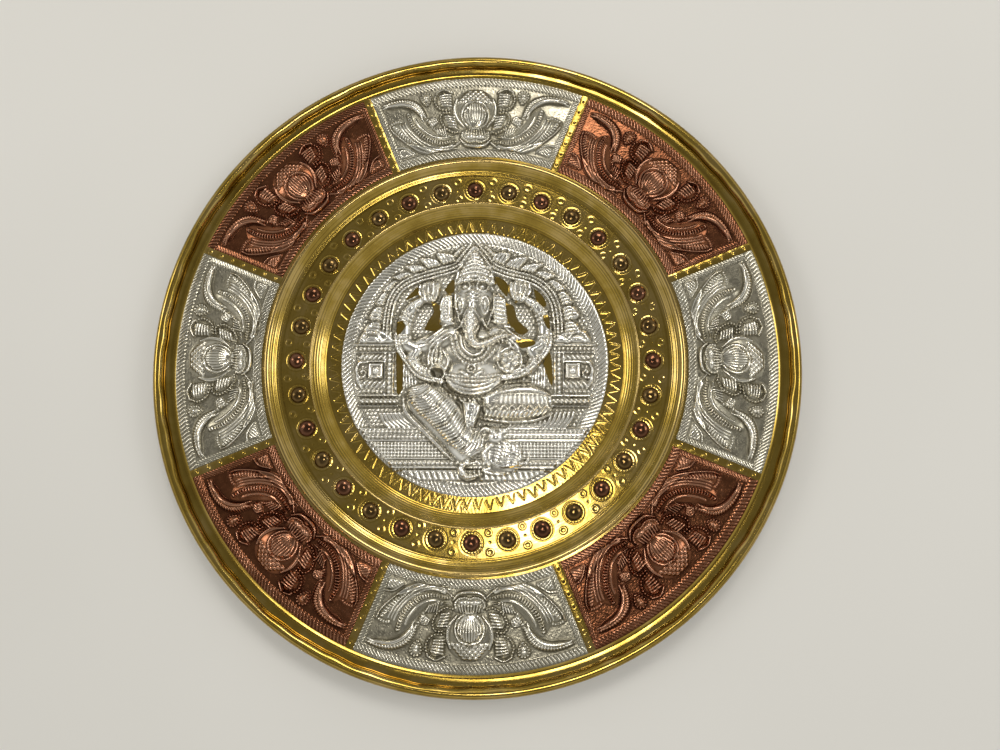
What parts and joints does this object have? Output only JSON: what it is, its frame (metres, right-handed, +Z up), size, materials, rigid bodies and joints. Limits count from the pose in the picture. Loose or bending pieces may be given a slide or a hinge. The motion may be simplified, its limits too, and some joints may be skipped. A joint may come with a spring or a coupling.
{
  "type": "embossed puja plate",
  "caption": "Round brass art plate: a pierced silver deity medallion in a stepped well, a ring of domed studs, and alternating silver and copper lotus panels inside a rolled rim.",
  "frame": {"origin": "centre of the flat underside of the well, which the plate rests on", "axes": "+Z up out of the dish, +Y towards the top of the pictured scene, +X to the viewer's right"},
  "size_m": [0.3048, 0.3048, 0.0134],
  "materials": {
    "brass": "spun and polished",
    "silver": "bright repousse sheet",
    "copper": "reddish repousse sheet",
    "lac": "dark set lac",
    "rim_wire": "plain wire"
  },
  "bodies": {
    "root": {"base_plate": "brass", "rim_wire": "rim_wire", "silver_panel_1": "silver", "silver_panel_lac_1": "lac", "silver_panel_2": "silver", "silver_panel_lac_2": "lac", "silver_panel_3": "silver", "silver_panel_lac_3": "lac", "silver_panel_4": "silver", "silver_panel_lac_4": "lac", "copper_panel_1": "copper", "copper_panel_lac_1": "lac", "copper_panel_2": "copper", "copper_panel_lac_2": "lac", "copper_panel_3": "copper", "copper_panel_lac_3": "lac", "copper_panel_4": "copper", "copper_panel_lac_4": "lac", "medallion": "silver", "medallion_lac": "lac", "copper_studs": "copper", "silver_studs": "silver"}
  },
  "joints": []
}
